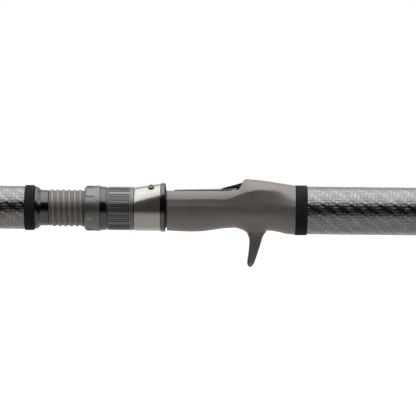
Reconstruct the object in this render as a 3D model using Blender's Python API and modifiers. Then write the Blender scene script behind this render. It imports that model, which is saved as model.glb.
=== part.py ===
"""Handle of a casting rod with its trigger reel seat, as separate pieces.

Frame: metres, +Z up (the side the reel sits on), +X toward the butt end, the
trigger hanging along -Z. The origin is the centre of the butt cap's end face,
on the axis of the rod, so the whole handle lies on the -X side.

The drawing below is in millimetres; MM turns it into metres at the last step.
"""

import math

import bmesh
import bpy
import numpy as np
from mathutils import Matrix, Vector

MM = 0.001
SEG = 24          # facets round a turned piece
WELD = 1e-7       # metres

# ---- blank (the graphite tube that runs through everything) ----
BLANK_FRONT_X, BLANK_REAR_X = -338.5, -4.3
BLANK_FRONT_R, BLANK_REAR_R = 5.6, 6.35
BLANK_WALL = 1.25
FIT = 0.2         # radial room for glue between the blank and what sits on it

# ---- reel seat ----
SEAT_FRONT_X, SEAT_BODY_X, SEAT_REAR_X = -260.0, -197.3, -129.3
SEAT_BORE_R = 8.0
BARREL_R = 9.95   # plain part of the barrel, and the crest of its thread
THREAD_ROOT_R = 9.25
PITCH = 3.0
THREAD_TOP_X = -258.6      # a crest passes the top of the barrel here
THREAD_TURNS = 13
THREAD_REAR_X = -218.3
NUT_BORE_R = 9.45
NUT_GROOVE_R = 10.2
THREAD_ROOM = 0.24         # axial room on each flank
KEYWAY_Y, KEYWAY_HALF = 8.8, 1.6

# ---- travelling hood ----
HOOD_FRONT_X, HOOD_REAR_X, HOOD_RIM_X = -214.66, -200.9, -198.23
HOOD_R = 11.7
HOOD_TOP_FRONT, HOOD_TOP_REAR = 11.4, 13.4
STEEL = 0.5
LINER_INSET = 0.62
RIM_STEP = 0.4
HOOD_BORE_R = 10.2
RIVET = (-205.8, 6.85, 11.35)
RIVET_TILT = math.radians(52.0)

# ---- outside radii of the grips ----
REAR_GRIP_R, REAR_RING_R = 12.72, 13.28
FORE_GRIP_R, FORE_RING_R = 11.43, 12.03


def blank_r(x):
    t = (x - BLANK_FRONT_X) / (BLANK_REAR_X - BLANK_FRONT_X)
    return BLANK_FRONT_R + (BLANK_REAR_R - BLANK_FRONT_R) * t


# ------------------------------------------------------------------ helpers
for old in list(bpy.data.objects):
    bpy.data.objects.remove(old, do_unlink=True)

PARTS = bpy.data.collections.new("casting_rod_handle")
CUTTERS = bpy.data.collections.new("casting_rod_handle_cutters")
bpy.context.scene.collection.children.link(PARTS)
bpy.context.scene.collection.children.link(CUTTERS)

MATERIALS = {}


def material(name, rgb, rough, metal=0.0):
    if name not in MATERIALS:
        mat = bpy.data.materials.new(name)
        mat.use_nodes = True
        shader = mat.node_tree.nodes["Principled BSDF"]
        shader.inputs["Base Color"].default_value = (*rgb, 1.0)
        shader.inputs["Roughness"].default_value = rough
        shader.inputs["Metallic"].default_value = metal
        mat.diffuse_color = (*rgb, 1.0)
        MATERIALS[name] = mat
    return MATERIALS[name]


GRAPHITE = ("graphite", (0.018, 0.019, 0.021), 0.3)
WEAVE = ("carbon_weave", (0.085, 0.083, 0.080), 0.22)
SEAT = ("seat_plastic", (0.185, 0.175, 0.168), 0.45)
NUT = ("nut_plastic", (0.085, 0.083, 0.082), 0.42)
BLACK = ("gloss_black", (0.012, 0.012, 0.013), 0.2)
LINER = ("liner_plastic", (0.015, 0.015, 0.016), 0.5)
STEELY = ("hood_steel", (0.62, 0.6, 0.57), 0.16, 1.0)
RIVETY = ("rivet_steel", (0.3, 0.3, 0.31), 0.3, 1.0)
COLLAR = ("collar_metal", (0.06, 0.06, 0.066), 0.2, 1.0)
EVA = ("eva_black", (0.02, 0.02, 0.021), 0.85)
FOAM = ("grip_core_foam", (0.2, 0.19, 0.17), 0.9)
ARBOR = ("arbor_foam", (0.35, 0.34, 0.31), 0.9)
THREAD = ("wrap_thread", (0.02, 0.02, 0.022), 0.35)


def finish(obj, look=None):
    """A part goes in the parts' collection with its look, a cutter in the other."""
    if look is None:
        CUTTERS.objects.link(obj)
        obj.hide_render = True
        obj.display_type = "WIRE"
    else:
        PARTS.objects.link(obj)
        obj.data.materials.append(material(*look))
    return obj


def mesh_object(name, points, faces, look=None, edges=()):
    mesh = bpy.data.meshes.new(name)
    mesh.from_pydata([tuple(c * MM for c in p) for p in points], list(edges), faces)
    mesh.shade_smooth()
    mesh.set_sharp_from_angle(angle=math.radians(35.0))
    mesh.update()
    return finish(bpy.data.objects.new(name, mesh), look)


def evaluated(obj):
    graph = bpy.context.evaluated_depsgraph_get()
    return bpy.data.meshes.new_from_object(obj.evaluated_get(graph), depsgraph=graph)


def signed_volume(mesh):
    bm = bmesh.new()
    bm.from_mesh(mesh)
    volume = bm.calc_volume(signed=True)
    bm.free()
    return volume


def turned(name, profile, look=None, seg=SEG):
    """A profile of (x, r) swept round the X axis. It is a closed outline, or
    runs from the axis to the axis."""
    solid = profile[0][1] == 0.0
    points = [(x, 0.0, r) for x, r in profile]
    count = len(points)
    edges = [(i, i + 1) for i in range(count - 1)]
    if not solid:
        edges.append((count - 1, 0))
    obj = mesh_object(name, points, [], look, edges)
    screw = obj.modifiers.new("turn", "SCREW")
    screw.axis = "X"
    screw.angle = 2.0 * math.pi
    screw.steps = screw.render_steps = seg
    screw.use_merge_vertices = True
    screw.merge_threshold = WELD
    screw.use_normal_flip = False
    if signed_volume(evaluated(obj)) < 0.0:
        screw.use_normal_flip = True
    return obj


def tube(name, x0, x1, r_in, r_out, look=None, seg=SEG):
    return turned(name, [(x0, r_in), (x0, r_out), (x1, r_out), (x1, r_in)], look, seg)


def rod(name, x0, x1, r, look=None, seg=SEG):
    return turned(name, [(x0, 0.0), (x0, r), (x1, r), (x1, 0.0)], look, seg)


def boolean(obj, operation, other):
    mod = obj.modifiers.new(operation.lower() + "_" + other.name, "BOOLEAN")
    mod.operation = operation
    mod.solver = "EXACT"
    mod.object = other
    return obj


def cut(obj, *others):
    for other in others:
        boolean(obj, "DIFFERENCE", other)
    return obj


def box(name, x, y, z, look=None):
    """A box from three (low, high) pairs."""
    bm = bmesh.new()
    bmesh.ops.create_cube(bm, size=1.0)
    size = Vector((x[1] - x[0], y[1] - y[0], z[1] - z[0])) * MM
    middle = Vector(((x[0] + x[1]) / 2, (y[0] + y[1]) / 2, (z[0] + z[1]) / 2)) * MM
    bmesh.ops.scale(bm, vec=size, verts=bm.verts)
    bmesh.ops.translate(bm, vec=middle, verts=bm.verts)
    mesh = bpy.data.meshes.new(name)
    bm.to_mesh(mesh)
    bm.free()
    return finish(bpy.data.objects.new(name, mesh), look)


def cylinder(name, start, direction, length, r, look=None, seg=16, r_end=None, turn=0.0):
    """A cylinder or cone from a point along a direction."""
    bm = bmesh.new()
    bmesh.ops.create_cone(bm, cap_ends=True, segments=seg, radius1=r * MM,
                          radius2=(r if r_end is None else r_end) * MM, depth=length * MM)
    way = Vector(direction).normalized()
    spin = Matrix.Rotation(turn, 4, "Z")
    place = Matrix.Translation((Vector(start) + way * length / 2) * MM)
    bmesh.ops.transform(bm, matrix=place @ way.to_track_quat("Z", "Y").to_matrix().to_4x4() @ spin,
                        verts=bm.verts)
    mesh = bpy.data.meshes.new(name)
    bm.to_mesh(mesh)
    bm.free()
    return finish(bpy.data.objects.new(name, mesh), look)


def loft(name, rings, look=None, hollow=False):
    """Rings of as many points each, joined one to the next; the last joins the
    first on a hollow one, and flat ends close the others. Faces point out."""
    count = len(rings[0])
    points = [p for ring in rings for p in ring]
    faces = []
    for i in range(len(rings) if hollow else len(rings) - 1):
        a, b = i * count, (i + 1) % len(rings) * count
        for j in range(count):
            k = (j + 1) % count
            faces.append((a + j, a + k, b + k, b + j))
    if not hollow:
        faces.append(tuple(range(count - 1, -1, -1)))
        last = (len(rings) - 1) * count
        faces.append(tuple(range(last, last + count)))
    obj = mesh_object(name, points, faces, look)
    bm = bmesh.new()
    bm.from_mesh(obj.data)
    bmesh.ops.triangulate(bm, faces=[f for f in bm.faces if len(f.verts) == 4])
    if bm.calc_volume(signed=True) < 0.0:
        bmesh.ops.reverse_faces(bm, faces=bm.faces)
    bm.to_mesh(obj.data)
    bm.free()
    return obj


def prism(name, outline, x0, x1, look=None):
    """An outline of (y, z) points pushed along X."""
    return loft(name, [[(x, y, z) for y, z in outline] for x in (x0, x1)], look)


def thread(name, top_x, turns, r_in, r_root, r_crest, root_half, crest_half, seg=SEG):
    """A right-handed ridge: a closed trapezoid on the Screw modifier. It starts
    at the top of the axis, at top_x."""
    slope = (root_half - crest_half) / (r_crest - r_root)
    foot_half = root_half + slope * (r_root - r_in)
    profile = [(top_x - foot_half, r_in), (top_x - crest_half, r_crest),
               (top_x + crest_half, r_crest), (top_x + foot_half, r_in)]
    helix = mesh_object(name + "_helix", [(x, 0.0, r) for x, r in profile], [], None,
                        [(0, 1), (1, 2), (2, 3), (3, 0)])
    screw = helix.modifiers.new("wind", "SCREW")
    screw.axis = "X"
    screw.angle = 2.0 * math.pi * turns
    screw.screw_offset = PITCH * turns * MM
    screw.steps = screw.render_steps = int(round(seg * turns))
    screw.use_merge_vertices = False
    mesh = evaluated(helix)
    bpy.data.objects.remove(helix, do_unlink=True)
    bm = bmesh.new()
    bm.from_mesh(mesh)
    bmesh.ops.holes_fill(bm, edges=[e for e in bm.edges if e.is_boundary], sides=8)
    bmesh.ops.recalc_face_normals(bm, faces=bm.faces)
    if bm.calc_volume(signed=True) < 0.0:
        bmesh.ops.reverse_faces(bm, faces=bm.faces)
    # Half a step on along the helix, so its facets fall between the barrel's.
    step = math.pi / seg
    bmesh.ops.transform(bm, matrix=Matrix.Translation((PITCH * step / (2.0 * math.pi) * MM, 0.0, 0.0))
                        @ Matrix.Rotation(step, 4, "X"), verts=bm.verts)
    bm.to_mesh(mesh)
    bm.free()
    return finish(bpy.data.objects.new(name, mesh))


# ------------------------------------------------- blank, ferrule and wrap
turned("blank_tube", [
    (BLANK_FRONT_X, BLANK_FRONT_R - BLANK_WALL), (BLANK_FRONT_X, BLANK_FRONT_R),
    (BLANK_REAR_X, BLANK_REAR_R), (BLANK_REAR_X, BLANK_REAR_R - BLANK_WALL)], GRAPHITE)

turned("spigot_ferrule", [
    (-361.0, 0.0), (-361.0, 3.2), (-360.3, 3.9), (-338.5, 4.2), (-302.0, 4.2),
    (-300.5, 3.6), (-300.5, 0.0)], GRAPHITE)

turned("ferrule_wrap", [
    (-337.0, blank_r(-337.0) + 0.1), (-337.0, blank_r(-337.0) + 0.35),
    (-336.2, blank_r(-336.2) + 0.6), (-322.8, blank_r(-322.8) + 0.6),
    (-322.0, blank_r(-322.0) + 0.35), (-322.0, blank_r(-322.0) + 0.1)], THREAD)

turned("winding_check", [
    (-315.3, blank_r(-315.3) + 0.15), (-315.3, 6.7), (-314.9, 7.3), (-312.0, 10.4),
    (-311.4, 10.6), (-311.4, blank_r(-311.4) + 0.15)], COLLAR)


# -------------------------------------------------------------- fore grip
def over_blank(name, x0, x1, outer, look):
    """A piece with the tapering bore that slides onto the blank."""
    return turned(name, [(x0, blank_r(x0) + FIT), *outer, (x1, blank_r(x1) + FIT)], look)


over_blank("fore_grip_front_ring", -311.1, -306.7,
           [(-311.1, 11.3), (-310.4, 12.03), (-306.7, 12.03)], EVA)
over_blank("fore_grip_core", -306.4, -272.7, [(-306.4, 10.2), (-272.7, 10.2)], FOAM)
tube("fore_grip_sleeve", -306.4, -272.7, 10.42, FORE_GRIP_R, WEAVE)
over_blank("fore_grip_rear_ring", -272.4, -267.3,
           [(-272.4, FORE_RING_R), (-268.2, FORE_RING_R), (-267.3, 11.3)], EVA)
over_blank("thread_collar", -267.1, -260.25,
           [(-267.1, 11.0), (-266.95, 11.16), (-266.1, 11.16), (-264.2, 9.47),
            (-260.4, 9.47), (-260.25, 9.3)], COLLAR)

# -------------------------------------------------------------- rear grip
over_blank("rear_grip_front_ring", -129.0, -123.3,
           [(-129.0, 13.0), (-128.72, REAR_RING_R), (-123.58, REAR_RING_R), (-123.3, 13.0)], EVA)
over_blank("rear_grip_core", -123.0, -18.3, [(-123.0, 11.5), (-18.3, 11.5)], FOAM)
tube("rear_grip_sleeve", -123.0, -18.3, 11.7, REAR_GRIP_R, WEAVE)
over_blank("rear_grip_end_ring", -18.0, -13.3,
           [(-18.0, 13.0), (-17.72, REAR_RING_R), (-13.58, REAR_RING_R), (-13.3, 13.0)], EVA)
turned("butt_cap", [
    (-4.05, 0.0), (-4.05, 6.6), (-13.0, 6.6), (-13.0, 12.8), (-12.7, 13.1),
    (-4.6, 13.1), (-2.0, 12.3), (-0.5, 10.6), (0.0, 9.0), (0.0, 0.0)], BLACK)
rod("butt_plug", -24.0, -5.0, 4.85, FOAM)

# ---------------------------------------- arbors that carry the reel seat
for place, x0, x1 in (("front", -256.0, -240.0), ("middle", -212.0, -196.0),
                      ("rear", -152.0, -136.0)):
    over_blank("seat_arbor_" + place, x0, x1,
               [(x0, SEAT_BORE_R - 0.2), (x1, SEAT_BORE_R - 0.2)], ARBOR)

# -------------------------------------------------------- reel seat body
# Half sections of the moulding: X: z of the bed's middle; bed edge (y, z);
# lower edge of the chamfer (y, z); half width; z of the bottom.
STATIONS = [
    (-197.3, 9.75, 8.2, 9.72, 10.7, 5.05, 11.25, -11.45),
    (-190.5, 9.8, 8.2, 9.77, 10.9, 5.1, 11.5, -11.75),
    (-184.5, 9.85, 8.2, 9.8, 10.9, 5.25, 11.5, -11.9),
    (-178.0, 9.9, 8.2, 9.85, 10.85, 5.45, 11.45, -11.58),
    (-171.5, 9.95, 8.25, 9.9, 10.75, 5.5, 11.3, -10.65),
    (-166.2, 10.0, 8.4, 9.95, 10.7, 5.5, 11.2, -9.9),
    (-162.0, 10.25, 8.6, 10.3, 10.7, 6.6, 11.15, -9.65),
    (-159.6, 10.35, 8.8, 10.6, 10.7, 7.6, 11.2, -9.9),
    (-156.9, 15.35, 7.5, 14.2, 10.75, 8.7, 11.25, -9.98),
    (-154.6, 16.3, 6.5, 15.6, 10.75, 9.5, 11.35, -10.05),
    (-150.5, 16.0, 6.5, 15.3, 10.8, 10.4, 11.5, -10.1),
    (-147.0, 15.65, 6.6, 14.95, 10.85, 10.6, 11.7, -10.3),
    (-143.3, 15.2, 7.0, 14.4, 10.9, 10.35, 12.0, -10.95),
    (-139.0, 14.5, 7.5, 13.5, 11.0, 10.0, 12.45, -11.42),
    (-134.5, 13.85, 8.0, 12.2, 11.4, 7.7, 12.85, -12.45),
    (-131.5, 13.4, 8.1, 11.1, 11.8, 6.1, 13.05, -12.8),
    (-129.3, 13.15, 8.1, 10.37, 12.0, 5.35, 13.1, -13.0),
]
# Trigger, ring by ring: z at its ends and sides; X of its front and back; half thickness.
TRIGGER = [
    (-11.45, -10.3, -155.7, -144.4, 4.9),
    (-13.57, -12.6, -154.15, -145.85, 3.9),
    (-15.9, -15.4, -153.5, -146.75, 3.3),
    (-19.1, -19.0, -153.55, -147.65, 3.0),
    (-22.8, -22.8, -153.87, -148.8, 2.8),
    (-26.5, -26.5, -154.37, -150.0, 2.5),
    (-28.9, -28.9, -154.35, -151.0, 1.9),
]
TRIGGER_TIP = (-153.0, -30.6)
LOOP_ANGLES = (180, 157, 132, 112, 97, 83, 68, 48, 23, 0)
PATCH = (7, 12)   # stations between which the trigger grows from the bottom


def half_section(station):
    x, z0, y2, z2, y4, z4, wide, low = station
    y1, y3 = 0.6 * y2, (y2 + y4) / 2
    points = [(0.0, z0), (y1, z0 + 0.12 * (z2 - z0)), (y2, z2),
              (y3 + 0.15, (z2 + z4) / 2 + 0.2), (y4, z4),
              (wide - 0.25 * (wide - y4), z4 * 0.5), (wide, 0.0)]
    for angle in (28.0, 54.0, 73.0, 90.0):
        a = math.radians(angle)
        points.append((wide * math.cos(a), low * math.sin(a)))
    points[-1] = (0.0, low)
    return [(x, y, z) for y, z in points]


def seat_cage():
    """Target points and faces of the moulding with its trigger, and the edges
    that stay crisp."""
    points, faces, crisp = [], [], {}
    rings = []
    for station in STATIONS:
        half = half_section(station)
        ring = half + [(x, -y, z) for x, y, z in reversed(half[1:-1])]
        rings.append(list(range(len(points), len(points) + len(ring))))
        points += ring
    count = len(rings[0])
    first, last = PATCH
    for i in range(len(rings) - 1):
        for j in range(count):
            if first <= i < last and 8 <= j < 12:
                continue
            k = (j + 1) % count
            faces.append((rings[i][j], rings[i][k], rings[i + 1][k], rings[i + 1][j]))
        for j, amount in ((2, 1.0), (18, 1.0), (4, 0.55), (16, 0.55)):
            weight = amount
            if i >= 12:
                weight = amount * max(0.0, (16 - i) / 6)
                if j in (4, 16):
                    weight = (0.3, 0.1, 0.0, 0.0)[i - 12]
            if j in (4, 16) and i in (6, 7):
                weight = 0.7
            if weight > 0:
                crisp[(rings[i][j], rings[i + 1][j])] = weight
    for ring in (rings[0], rings[-1]):
        for j in range(count):
            crisp[(ring[j], ring[(j + 1) % count])] = 1.0
    faces.append(tuple(reversed(rings[0])))
    faces.append(tuple(rings[-1]))
    # The step up to the fixed hood's mouth is crisp over the top.
    for i in (7, 9):
        for j in (17, 18, 19, 0, 1, 2):
            crisp[(rings[i][j], rings[i][(j + 1) % count])] = 0.9 if i == 9 else 0.7

    # Loop round the patch, from its front end over +Y to its back end and home over -Y.
    loop = [rings[first][10], rings[first][9]]
    loop += [rings[i][8] for i in range(first, last + 1)]
    loop += [rings[last][9], rings[last][10], rings[last][11]]
    loop += [rings[i][12] for i in range(last, first - 1, -1)]
    loop += [rings[first][11]]
    angles = list(LOOP_ANGLES) + [-a for a in reversed(LOOP_ANGLES[1:-1])]
    n = len(loop)
    previous = loop
    for z_end, z_side, x_front, x_back, half in TRIGGER:
        ring = []
        for angle in angles:
            a = math.radians(angle)
            c, s = math.cos(a), math.sin(a)
            x = (x_front + x_back) / 2 + (x_back - x_front) / 2 * math.copysign(abs(c) ** 0.85, c)
            y = half * math.copysign(abs(s) ** 0.85, s)
            ring.append(len(points))
            points.append((x, y, z_end + (z_side - z_end) * s * s))
        for j in range(n):
            k = (j + 1) % n
            faces.append((previous[j], ring[j], ring[k], previous[k]))
        previous = ring
    tip = len(points)
    points.append((TRIGGER_TIP[0], 0.0, TRIGGER_TIP[1]))
    for j in range(n):
        faces.append((previous[j], tip, previous[(j + 1) % n]))
    return np.array(points), faces, crisp


def fitted(name, points, faces, crisp, look, level, rounds=30):
    """A Subdivision Surface whose skin passes through the given points: its
    cage is moved by what the skin misses, round by round."""
    obj = mesh_object(name, points, faces, look)
    mesh = obj.data
    crease = mesh.attributes.new("crease_edge", "FLOAT", "EDGE")
    for edge in mesh.edges:
        a, b = edge.vertices
        crease.data[edge.index].value = crisp.get((a, b), crisp.get((b, a), 0.0))
    bm = bmesh.new()
    bm.from_mesh(mesh)
    bmesh.ops.recalc_face_normals(bm, faces=bm.faces)
    if bm.calc_volume(signed=True) < 0.0:
        bmesh.ops.reverse_faces(bm, faces=bm.faces)
    bm.to_mesh(mesh)
    bm.free()
    sub = obj.modifiers.new("skin", "SUBSURF")
    sub.levels = sub.render_levels = 1
    target = np.array(points) * MM
    cage = target.copy()
    for _ in range(rounds):
        skin = evaluated(obj)
        got = np.empty(len(skin.vertices) * 3)
        skin.vertices.foreach_get("co", got)
        miss = target - got.reshape(-1, 3)[: len(target)]
        bpy.data.meshes.remove(skin)
        cage += 0.8 * miss
        mesh.vertices.foreach_set("co", cage.reshape(-1))
        mesh.update()
    sub.levels = sub.render_levels = level
    return obj


body = fitted("reel_seat_body", *seat_cage(), SEAT, 1)

barrel = turned("barrel_core", [
    (SEAT_FRONT_X, 0.0), (SEAT_FRONT_X, 9.0), (SEAT_FRONT_X + 0.25, THREAD_ROOT_R),
    (THREAD_REAR_X, THREAD_ROOT_R), (THREAD_REAR_X + 0.5, BARREL_R),
    (SEAT_BODY_X - 0.25, BARREL_R), (SEAT_BODY_X - 0.1, 9.3), (-190.0, 9.2), (-190.0, 0.0)])
ridge = thread("barrel_thread", THREAD_TOP_X, THREAD_TURNS, 9.0, THREAD_ROOT_R, BARREL_R, 1.0, 0.5)
boolean(body, "UNION", barrel)
boolean(body, "UNION", ridge)
cut(body, rod("seat_bore", -262.0, -127.0, SEAT_BORE_R))
# Pocket for the gasket in the foot bed.
BED_FLOOR = 8.95
cut(body, box("bed_pocket", (-193.9, -162.9), (-7.4, 7.4), (BED_FLOOR, 12.0)))


def mouth(half, floor, shoulder, corner_y, corner_z, top):
    """Inverted U: straight sides, sloped shoulders, arched top."""
    right = [(half, floor), (half, shoulder), (corner_y, corner_z), (corner_y * 0.62, top)]
    return right + [(-y, z) for y, z in reversed(right)]


# Hollow of the fixed rear hood, and the keyway the travelling hood runs in.
cut(body, prism("rear_hood_hollow", mouth(8.3, 9.9, 12.3, 6.0, 14.5, 15.2), -163.4, -148.5))
cut(body, box("keyway", (-248.2, -197.6), (KEYWAY_Y, 13.0), (-KEYWAY_HALF, KEYWAY_HALF)))

# ------------------------------------------------------- reel foot's bed
GASKET_TOP = [(-193.7, 10.03), (-186.0, 10.12), (-170.0, 10.28), (-163.1, 10.33)]
PLATE_TOP = [(-193.2, 10.26), (-186.0, 10.52), (-176.0, 10.85), (-168.8, 11.1118), (-163.1, 10.98), (-160.5, 10.85)]


def gasket_top(x):
    return float(np.interp(x, [p[0] for p in GASKET_TOP], [p[1] for p in GASKET_TOP]))


def plank(name, tops, half, bottom, look):
    """A strip with straight sides whose top follows (x, z) points."""
    rings = []
    for x, top in tops:
        low = bottom(x)
        rings.append([(x, -half, low), (x, half, low), (x, half, top), (x, -half, top)])
    return loft(name, rings, look)


plank("foot_bed_gasket", GASKET_TOP, 7.25, lambda x: BED_FLOOR + 0.1, LINER)
plank("foot_bed_plate", PLATE_TOP, 8.1, lambda x: gasket_top(x) + 0.08, SEAT)

# --------------------------------------------------- liner of the rear hood
liner = prism("rear_hood_liner", mouth(8.15, 10.05, 12.2, 5.9, 14.35, 15.05), -169.0, -148.8, LINER)
cut(liner, prism("liner_hollow", mouth(7.25, 9.0, 11.9, 5.5, 13.7, 14.35), -171.0, -149.6))
cut(liner, loft("liner_ramp", [
    [(-169.6, y, 11.2), (-169.6, y, 17.0), (-156.8, y, 17.0), (-156.8, y, 14.55), (-168.6, y, 11.2)]
    for y in (-10.0, 10.0)]))
cut(liner, box("liner_over_plate", (-171.0, -160.35), (-10.0, 10.0), (9.0, 11.16)))
cut(liner, box("liner_nose", (-171.0, -168.4), (-10.0, 10.0), (9.0, 13.0)))


# ------------------------------------------------------- travelling hood
def hood_ring(x, inset, count=32):
    """Round below, a squarer arch above that rises toward the mouth."""
    t = (x - HOOD_FRONT_X) / (HOOD_REAR_X - HOOD_FRONT_X)
    top = HOOD_TOP_FRONT + (HOOD_TOP_REAR - HOOD_TOP_FRONT) * min(1.0, t) - inset
    n = 2.0 + 0.8 * max(0.0, min(1.2, t))
    wide = HOOD_R - inset
    ring = []
    for j in range(count):
        a = 2.0 * math.pi * j / count
        c, s = math.cos(a), math.sin(a)
        if s > 1e-9:
            y = wide * math.copysign(abs(c) ** (2.0 / n), c) if abs(c) > 1e-9 else 0.0
            z = top * s ** (2.0 / n)
        else:
            y, z = wide * c, wide * s
        ring.append((x, y, z))
    return ring


hood_x = (HOOD_FRONT_X, -207.8, HOOD_REAR_X)
hood = loft("hood_shell", [hood_ring(x, 0.0) for x in hood_x]
            + [hood_ring(x, STEEL) for x in reversed(hood_x)], STEELY, hollow=True)

liner2 = loft("hood_liner", [hood_ring(x, d) for x, d in (
    (-214.9, LINER_INSET), (-207.8, LINER_INSET), (-200.7, LINER_INSET), (-200.69, -0.35),
    (-200.3, -RIM_STEP), (-198.6, -RIM_STEP), (HOOD_RIM_X, -0.2))], BLACK)
boolean(liner2, "UNION", turned("hood_neck", [
    (-216.8, 0.0), (-216.8, 10.7), (-216.65, 10.85), (-216.25, 10.85), (-216.1, 10.6),
    (-213.5, 10.6), (-213.5, 0.0)]))
cut(liner2, rod("hood_bore", -219.0, -196.0, HOOD_BORE_R))
cut(liner2, loft("foot_cavity", [
    [(x, -w, 8.0), (x, w, 8.0), (x, w, top - 0.5), (x, w - 0.8, top), (x, 0.8 - w, top), (x, -w, top - 0.5)]
    for x, w, top in ((-205.0, 6.6, 10.4), (-197.0, 7.4, 12.1))]))
boolean(liner2, "UNION", box("hood_key", (-213.0, -203.0), (9.25, 10.6), (-1.2, 1.2)))


def rivet(side):
    x, y, z = RIVET
    y *= side
    out = Vector((-0.12, side * math.cos(RIVET_TILT), math.sin(RIVET_TILT))).normalized()
    seat = Vector((x, y, z))
    name = "near" if side < 0 else "far"
    hole = cylinder("rivet_hole_" + name, seat - out * 2.1, out, 5.0, 1.05, seg=12)
    head = cylinder("hood_rivet_" + name, seat + out * 0.06, out, 0.87, 1.68, RIVETY, seg=20, r_end=1.45)
    boolean(head, "UNION", cylinder("rivet_shank_" + name, seat - out * 1.7, out, 2.1, 0.85, seg=12))
    cut(head, cylinder("rivet_dimple_" + name, seat + out * 0.55, out, 1.0, 0.75, seg=12, r_end=1.6))
    return hole


for side in (-1.0, 1.0):
    hole = rivet(side)
    cut(hood, hole)
    cut(liner2, hole)

# ----------------------------------------------------------- hood nut
hood_nut = turned("hood_nut", [
    (-228.44, NUT_BORE_R), (-228.44, 11.2), (-228.14, 11.5), (-215.2, 11.5), (-215.0, 11.3),
    (-215.0, 10.75), (-215.8, 10.75), (-216.0, 11.0), (-217.0, 11.0), (-217.2, 10.3),
    (-218.8, 10.3), (-219.3, NUT_BORE_R)], NUT)


def knurl_cutter():
    """Twelve groups of four grooves."""
    bm = bmesh.new()
    for group in range(12):
        for k in range(4):
            a = math.radians(-1.5 + 180.0 + 30.0 * group + 5.8 * (k - 1.5))
            made = bmesh.ops.create_cube(bm, size=1.0)["verts"]
            bmesh.ops.scale(bm, vec=Vector((11.2, 0.62, 1.0)) * MM, verts=made)
            middle = Vector((-222.6, 0.0, 11.64)) * MM
            bmesh.ops.translate(bm, vec=middle, verts=made)
            bmesh.ops.rotate(bm, cent=(0, 0, 0), matrix=Matrix.Rotation(a - math.pi / 2, 3, "X"),
                             verts=made)
    mesh = bpy.data.meshes.new("knurl_grooves")
    bm.to_mesh(mesh)
    bm.free()
    return finish(bpy.data.objects.new("knurl_grooves", mesh))


cut(hood_nut, knurl_cutter())
inner_c = thread("hood_nut_thread", THREAD_TOP_X + 9 * PITCH, 5, 9.2, NUT_BORE_R, NUT_GROOVE_R,
                 0.86 + THREAD_ROOM, 0.5 + THREAD_ROOM - 0.18)
cut(hood_nut, inner_c)

# ------------------------------------------ locking washer, nut and its ring
washer = tube("jam_washer", -229.1, -228.62, 10.2, 11.2, NUT)
boolean(washer, "UNION", box("washer_tab", (-229.1, -228.62), (9.25, 10.5), (-1.2, 1.2)))

jam = turned("jam_nut", [
    (-241.16, NUT_BORE_R), (-241.16, 10.75), (-239.9, 11.97), (-235.0, 11.97), (-234.6, 12.1),
    (-233.1, 12.1), (-232.9, 11.9), (-232.9, 10.85), (-229.35, 10.85), (-229.35, 10.3),
    (-232.3, 10.3), (-233.15, NUT_BORE_R)], NUT)


def flute_cutter():
    bm = bmesh.new()
    for k in range(8):
        a = math.radians(180.0 - 23.9 + 45.0 * k)
        made = bmesh.ops.create_cone(bm, cap_ends=True, segments=16, radius1=3.4 * MM,
                                     radius2=3.4 * MM, depth=6.4 * MM)["verts"]
        place = (Matrix.Rotation(a - math.pi / 2, 4, "X")
                 @ Matrix.Translation(Vector((-238.5, 0.0, 14.93)) * MM)
                 @ Matrix.Rotation(math.pi / 2, 4, "Y"))
        bmesh.ops.transform(bm, matrix=place, verts=made)
    mesh = bpy.data.meshes.new("jam_nut_flutes")
    bm.to_mesh(mesh)
    bm.free()
    return finish(bpy.data.objects.new("jam_nut_flutes", mesh))


cut(jam, flute_cutter())
cut(jam, thread("jam_nut_thread", THREAD_TOP_X + 5 * PITCH, 4, 9.2, NUT_BORE_R, NUT_GROOVE_R,
                0.86 + THREAD_ROOM, 0.5 + THREAD_ROOM - 0.18))
turned("jam_nut_trim_ring", [
    (-232.7, 11.0), (-232.7, 11.75), (-229.75, 11.5), (-229.25, 11.2), (-229.25, 11.0)], BLACK)

# ----------------------------------------------------------- joint frames
# Every moving piece turns about, or slides along, the axis of the rod; an
# empty on that axis carries each moving group.
GROUPS = {
    "hood_slide": (HOOD_FRONT_X, ["hood_shell", "hood_liner", "hood_rivet_near", "hood_rivet_far"]),
    "lock_nut_turn": (-222.0, ["hood_nut"]),
    "jam_washer_slide": (-228.86, ["jam_washer"]),
    "jam_nut_turn": (-235.0, ["jam_nut", "jam_nut_trim_ring"]),
}
for name, (x, members) in GROUPS.items():
    empty = bpy.data.objects.new("axis_" + name, None)
    empty.empty_display_type = "SINGLE_ARROW"
    empty.empty_display_size = 0.02
    empty.location = (x * MM, 0.0, 0.0)
    PARTS.objects.link(empty)
    for member in members:
        part = bpy.data.objects[member]
        part.parent = empty
        part.matrix_parent_inverse = Matrix.Translation((-x * MM, 0.0, 0.0))
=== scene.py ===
"""Looks of the casting rod handle: fine surfaces, materials, light and camera."""

import math

import bmesh
import bpy
import numpy as np
from mathutils import Matrix, Vector


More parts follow.
